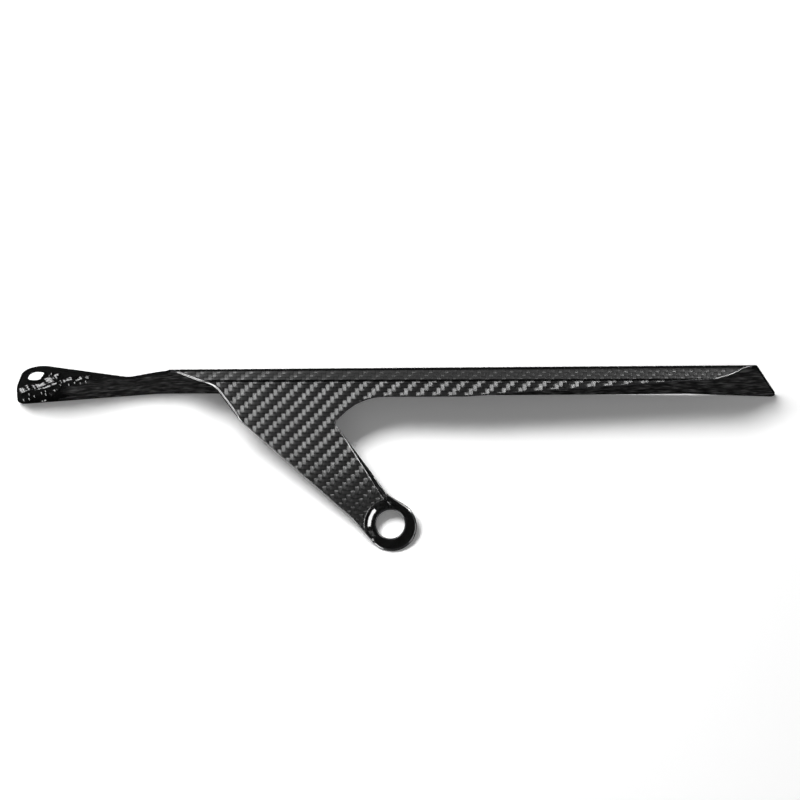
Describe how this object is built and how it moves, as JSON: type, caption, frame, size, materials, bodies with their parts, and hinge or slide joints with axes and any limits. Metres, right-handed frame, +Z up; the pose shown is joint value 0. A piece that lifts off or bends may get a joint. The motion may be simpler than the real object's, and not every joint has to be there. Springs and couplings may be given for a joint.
{
  "type": "motorcycle chain guide",
  "caption": "Moulded carbon laminate chain guide with a hook-shaped rail, a bolt tab at one end and a leg that carries a recessed mounting eye.",
  "frame": {"origin": "middle of the mounting eye's bore", "axes": "+X along the rail towards its tail, +Z up with the guide lying at rest on a bench"},
  "size_m": [0.3843, 0.0898, 0.0349],
  "materials": {
    "laminate": "clear-coated twill weave outside, plain dark resin inside"
  },
  "bodies": {
    "root": {"chain_guide": "laminate"}
  },
  "joints": []
}
